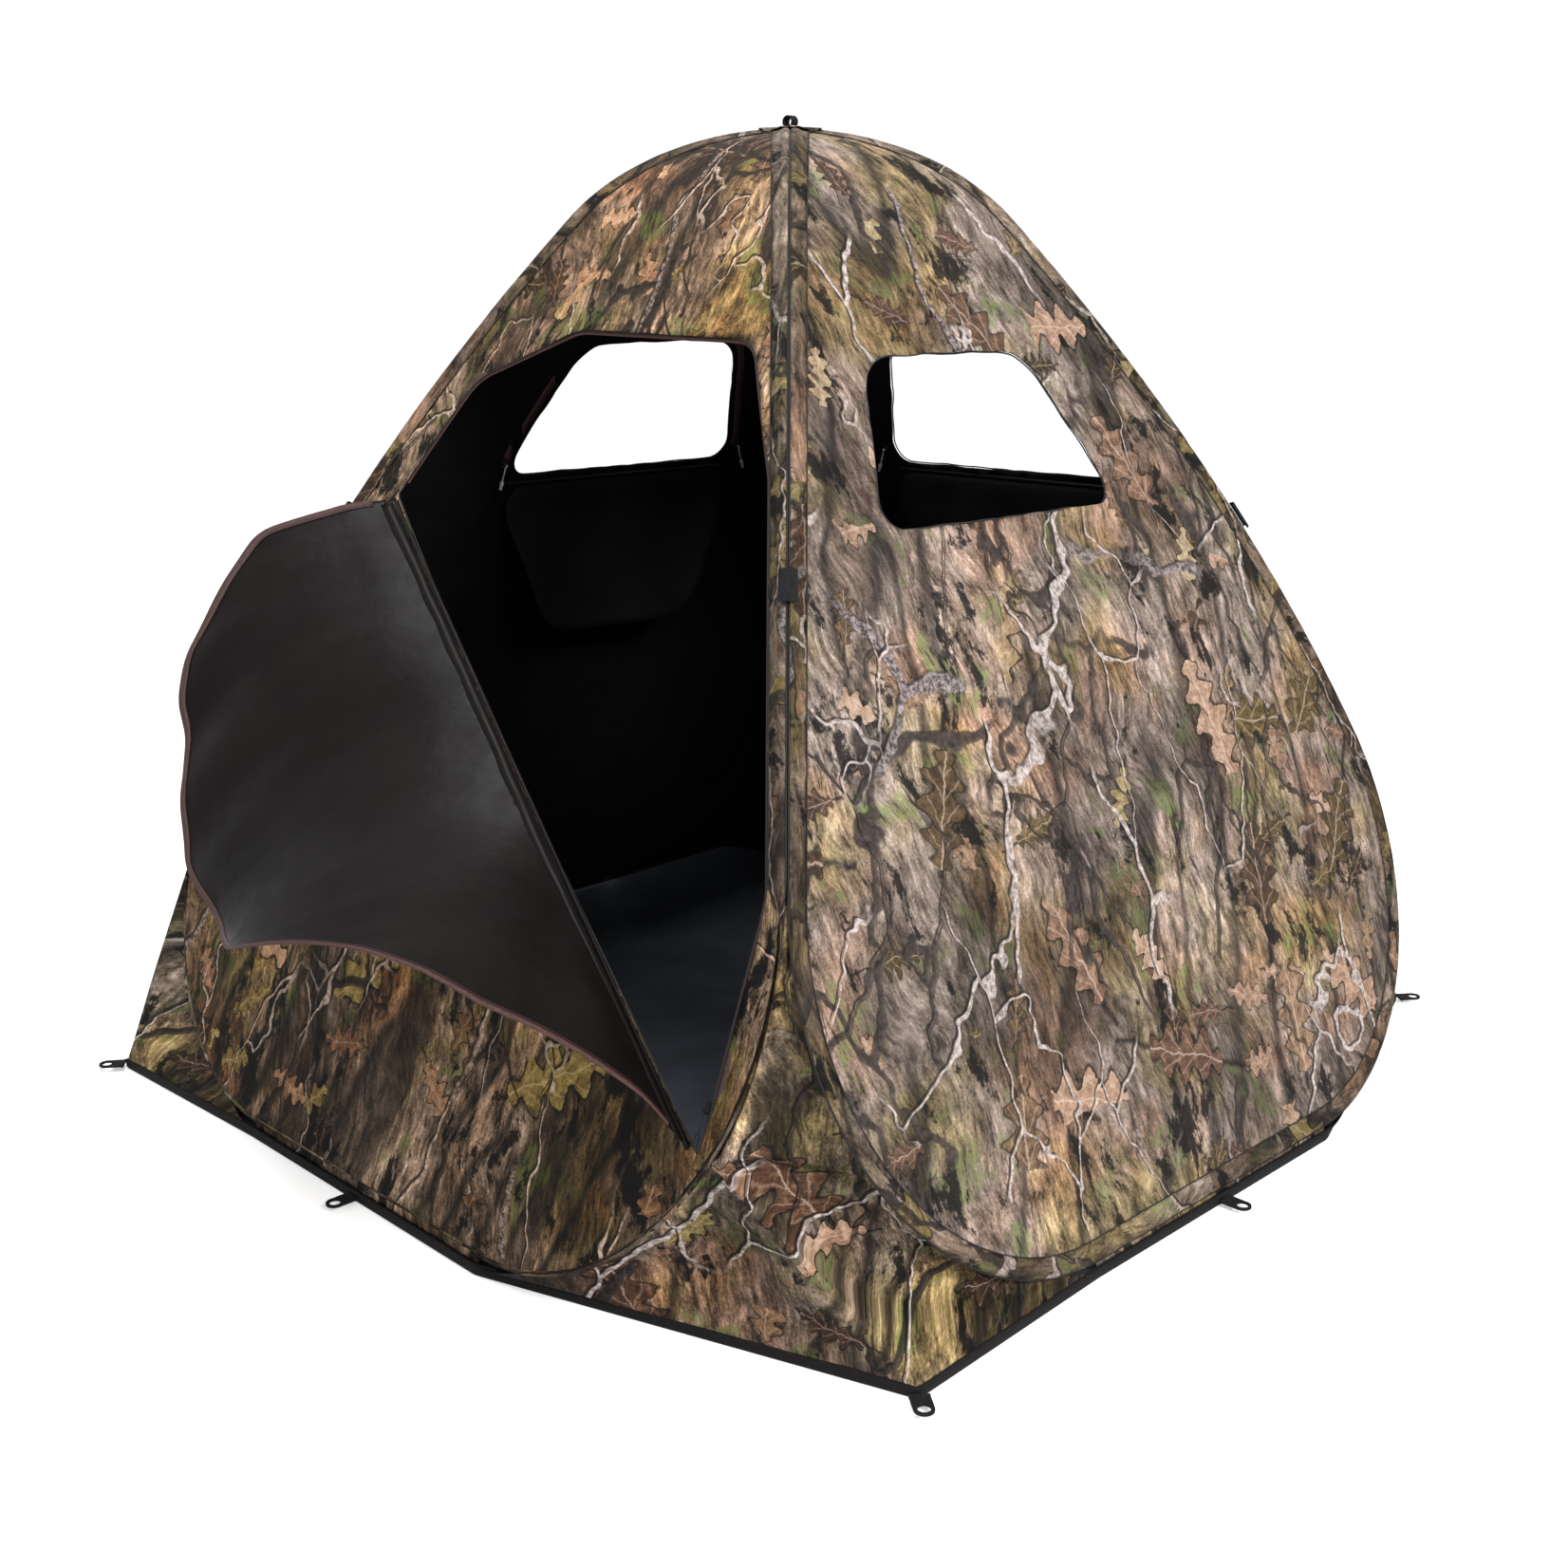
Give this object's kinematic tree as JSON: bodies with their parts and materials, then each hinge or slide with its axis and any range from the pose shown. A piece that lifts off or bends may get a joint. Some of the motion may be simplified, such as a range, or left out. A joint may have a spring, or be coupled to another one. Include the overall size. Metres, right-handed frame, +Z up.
{
  "type": "pop up ground blind",
  "caption": "Square domed pop-up hide of camouflage fabric on spring hoops, with a diagonal zip door folded open, cut windows with hanging flaps, a floor and stake loops.",
  "frame": {"origin": "middle of the floor on the ground", "axes": "+Z up, the door wall faces -Y, the wall to its right faces +X"},
  "size_m": [1.7974, 2.0078, 1.4639],
  "materials": {
    "camo_fabric": "printed woven polyester, matt",
    "spring_steel": "rolled spring steel",
    "ferrule_steel": "crimped tube",
    "floor_fabric": "coated woven floor",
    "black_coating": "black coated inner face with a soft sheen",
    "zipper_tape": "brown zipper tape with coil teeth",
    "zip_slider": "black slider",
    "door_pull": "black cord pull",
    "pull_cord": "pale cord pull with toggle",
    "black_webbing": "black webbing and binding"
  },
  "bodies": {
    "tent": {"door_wall": "camo_fabric", "right_wall": "camo_fabric", "back_wall": "camo_fabric", "left_wall": "camo_fabric", "door_hoop": "spring_steel", "right_hoop": "spring_steel", "back_hoop": "spring_steel", "left_hoop": "spring_steel", "door_sleeve": "camo_fabric", "right_sleeve": "camo_fabric", "back_sleeve": "camo_fabric", "left_sleeve": "camo_fabric", "hoop_ferrules": "ferrule_steel", "seam_keepers": "black_webbing", "crown_patch": "camo_fabric", "crown_tab": "black_webbing", "front_right_gusset": "camo_fabric", "back_right_gusset": "camo_fabric", "back_left_gusset": "camo_fabric", "front_left_gusset": "camo_fabric", "floor_sheet": "floor_fabric", "hem_binding": "black_webbing", "door_hinge_cord": "black_webbing", "door_zipper": "zipper_tape", "window_hinge_cords": "black_webbing", "right_window_zipper": "zipper_tape", "back_window_zipper": "zipper_tape", "left_window_zipper": "zipper_tape"},
    "door_flap_low": {"door_flap_lower": "black_coating", "flap_zipper_lower": "zipper_tape"},
    "door_flap_high": {"door_flap_upper": "black_coating", "flap_zipper_upper": "zipper_tape"},
    "door_slider": {"door_zip_slider": "zip_slider"},
    "door_pull": {"door_zip_pull": "door_pull"},
    "right_flap": {"right_window_flap": "black_coating"},
    "right_slide_a": {"right_slider_a": "zip_slider"},
    "right_tug_a": {"right_pull_a": "pull_cord"},
    "right_slide_b": {"right_slider_b": "zip_slider"},
    "right_tug_b": {"right_pull_b": "pull_cord"},
    "back_flap": {"back_window_flap": "black_coating"},
    "back_slide_a": {"back_slider_a": "zip_slider"},
    "back_tug_a": {"back_pull_a": "pull_cord"},
    "back_slide_b": {"back_slider_b": "zip_slider"},
    "back_tug_b": {"back_pull_b": "pull_cord"},
    "left_flap": {"left_window_flap": "black_coating"},
    "left_slide_a": {"left_slider_a": "zip_slider"},
    "left_tug_a": {"left_pull_a": "pull_cord"},
    "left_slide_b": {"left_slider_b": "zip_slider"},
    "left_tug_b": {"left_pull_b": "pull_cord"},
    "front_right_tab": {"front_right_loop": "black_webbing"},
    "back_right_tab": {"back_right_loop": "black_webbing"},
    "back_left_tab": {"back_left_loop": "black_webbing"},
    "front_left_tab": {"front_left_loop": "black_webbing"},
    "door_side_tab": {"door_side_loop": "black_webbing"},
    "right_side_tab": {"right_side_loop": "black_webbing"},
    "back_side_tab": {"back_side_loop": "black_webbing"},
    "left_side_tab": {"left_side_loop": "black_webbing"}
  },
  "joints": [
    {"name": "door_fold", "type": "hinge", "parent": "tent", "child": "door_flap_low", "pos_m": [0.606, -0.76203, 0.25], "axis": [-0.8052, 0.2285, 0.5472], "range_deg": [0, 104]},
    {"name": "door_bend", "type": "hinge", "parent": "door_flap_low", "child": "door_flap_high", "pos_m": [0.606, -0.76203, 0.25], "axis": [-0.8052, 0.2285, 0.5472], "range_deg": [0, 62]},
    {"name": "door_zip_run", "type": "slide", "parent": "tent", "child": "door_slider", "axis": [0, 0.3584, 0.9336], "range_m": [0, 0.15]},
    {"name": "door_pull_swing", "type": "hinge", "parent": "door_slider", "child": "door_pull", "pos_m": [0.6015, -0.73625, 0.30032], "axis": [-1, 0, 0], "range_deg": [0, 120]},
    {"name": "right_window_fold", "type": "hinge", "parent": "tent", "child": "right_flap", "pos_m": [0.47204, 0, 0.90029], "axis": [0, 1, 0], "range_deg": [0, 150]},
    {"name": "back_window_fold", "type": "hinge", "parent": "tent", "child": "back_flap", "pos_m": [0, 0.47204, 0.90029], "axis": [-1, 0, 0], "range_deg": [0, 150]},
    {"name": "left_window_fold", "type": "hinge", "parent": "tent", "child": "left_flap", "pos_m": [-0.47204, 0, 0.90029], "axis": [0, -1, 0], "range_deg": [0, 150]},
    {"name": "right_zip_run_a", "type": "slide", "parent": "tent", "child": "right_slide_a", "axis": [-0.4435, 0.3442, 0.8275], "range_m": [0, 0.09]},
    {"name": "right_pull_swing_a", "type": "hinge", "parent": "right_slide_a", "child": "right_tug_a", "pos_m": [0.44951, -0.31264, 0.93187], "axis": [0.1626, 0.9389, -0.3034], "range_deg": [-15, 100]},
    {"name": "right_zip_run_b", "type": "slide", "parent": "tent", "child": "right_slide_b", "axis": [-0.4435, -0.3442, 0.8275], "range_m": [0, 0.09]},
    {"name": "right_pull_swing_b", "type": "hinge", "parent": "right_slide_b", "child": "right_tug_b", "pos_m": [0.44951, 0.21264, 0.93187], "axis": [-0.1626, 0.9389, 0.3034], "range_deg": [-15, 100]},
    {"name": "back_zip_run_a", "type": "slide", "parent": "tent", "child": "back_slide_a", "axis": [-0.3442, -0.4435, 0.8275], "range_m": [0, 0.09]},
    {"name": "back_pull_swing_a", "type": "hinge", "parent": "back_slide_a", "child": "back_tug_a", "pos_m": [0.31264, 0.44951, 0.93187], "axis": [-0.9389, 0.1626, -0.3034], "range_deg": [-15, 100]},
    {"name": "back_zip_run_b", "type": "slide", "parent": "tent", "child": "back_slide_b", "axis": [0.3442, -0.4435, 0.8275], "range_m": [0, 0.09]},
    {"name": "back_pull_swing_b", "type": "hinge", "parent": "back_slide_b", "child": "back_tug_b", "pos_m": [-0.21264, 0.44951, 0.93187], "axis": [-0.9389, -0.1626, 0.3034], "range_deg": [-15, 100]},
    {"name": "left_zip_run_a", "type": "slide", "parent": "tent", "child": "left_slide_a", "axis": [0.4435, -0.3442, 0.8275], "range_m": [0, 0.09]},
    {"name": "left_pull_swing_a", "type": "hinge", "parent": "left_slide_a", "child": "left_tug_a", "pos_m": [-0.44951, 0.31264, 0.93187], "axis": [-0.1626, -0.9389, -0.3034], "range_deg": [-15, 100]},
    {"name": "left_zip_run_b", "type": "slide", "parent": "tent", "child": "left_slide_b", "axis": [0.4435, 0.3442, 0.8275], "range_m": [0, 0.09]},
    {"name": "left_pull_swing_b", "type": "hinge", "parent": "left_slide_b", "child": "left_tug_b", "pos_m": [-0.44951, -0.21264, 0.93187], "axis": [0.1626, -0.9389, 0.3034], "range_deg": [-15, 100]},
    {"name": "front_right_loop_lift", "type": "hinge", "parent": "tent", "child": "front_right_tab", "pos_m": [0.86582, -0.65245, 0.008], "axis": [-0.6018, -0.7986, 0], "range_deg": [0, 90]},
    {"name": "back_right_loop_lift", "type": "hinge", "parent": "tent", "child": "back_right_tab", "pos_m": [0.65245, 0.86582, 0.008], "axis": [0.7986, -0.6018, 0], "range_deg": [0, 90]},
    {"name": "back_left_loop_lift", "type": "hinge", "parent": "tent", "child": "back_left_tab", "pos_m": [-0.86582, 0.65245, 0.008], "axis": [0.6018, 0.7986, 0], "range_deg": [0, 90]},
    {"name": "front_left_loop_lift", "type": "hinge", "parent": "tent", "child": "front_left_tab", "pos_m": [-0.65245, -0.86582, 0.008], "axis": [-0.7986, 0.6018, 0], "range_deg": [0, 90]},
    {"name": "door_side_loop_lift", "type": "hinge", "parent": "tent", "child": "door_side_tab", "pos_m": [0, -0.8515, 0.008], "axis": [-1, 0, 0], "range_deg": [0, 90]},
    {"name": "right_side_loop_lift", "type": "hinge", "parent": "tent", "child": "right_side_tab", "pos_m": [0.8515, 0, 0.008], "axis": [0, -1, 0], "range_deg": [0, 90]},
    {"name": "back_side_loop_lift", "type": "hinge", "parent": "tent", "child": "back_side_tab", "pos_m": [0, 0.8515, 0.008], "axis": [1, 0, 0], "range_deg": [0, 90]},
    {"name": "left_side_loop_lift", "type": "hinge", "parent": "tent", "child": "left_side_tab", "pos_m": [-0.8515, 0, 0.008], "axis": [0, 1, 0], "range_deg": [0, 90]}
  ],
  "couplings": [
    {"joint": "door_bend", "follows": "door_fold", "ratio": 0.59615}
  ]
}
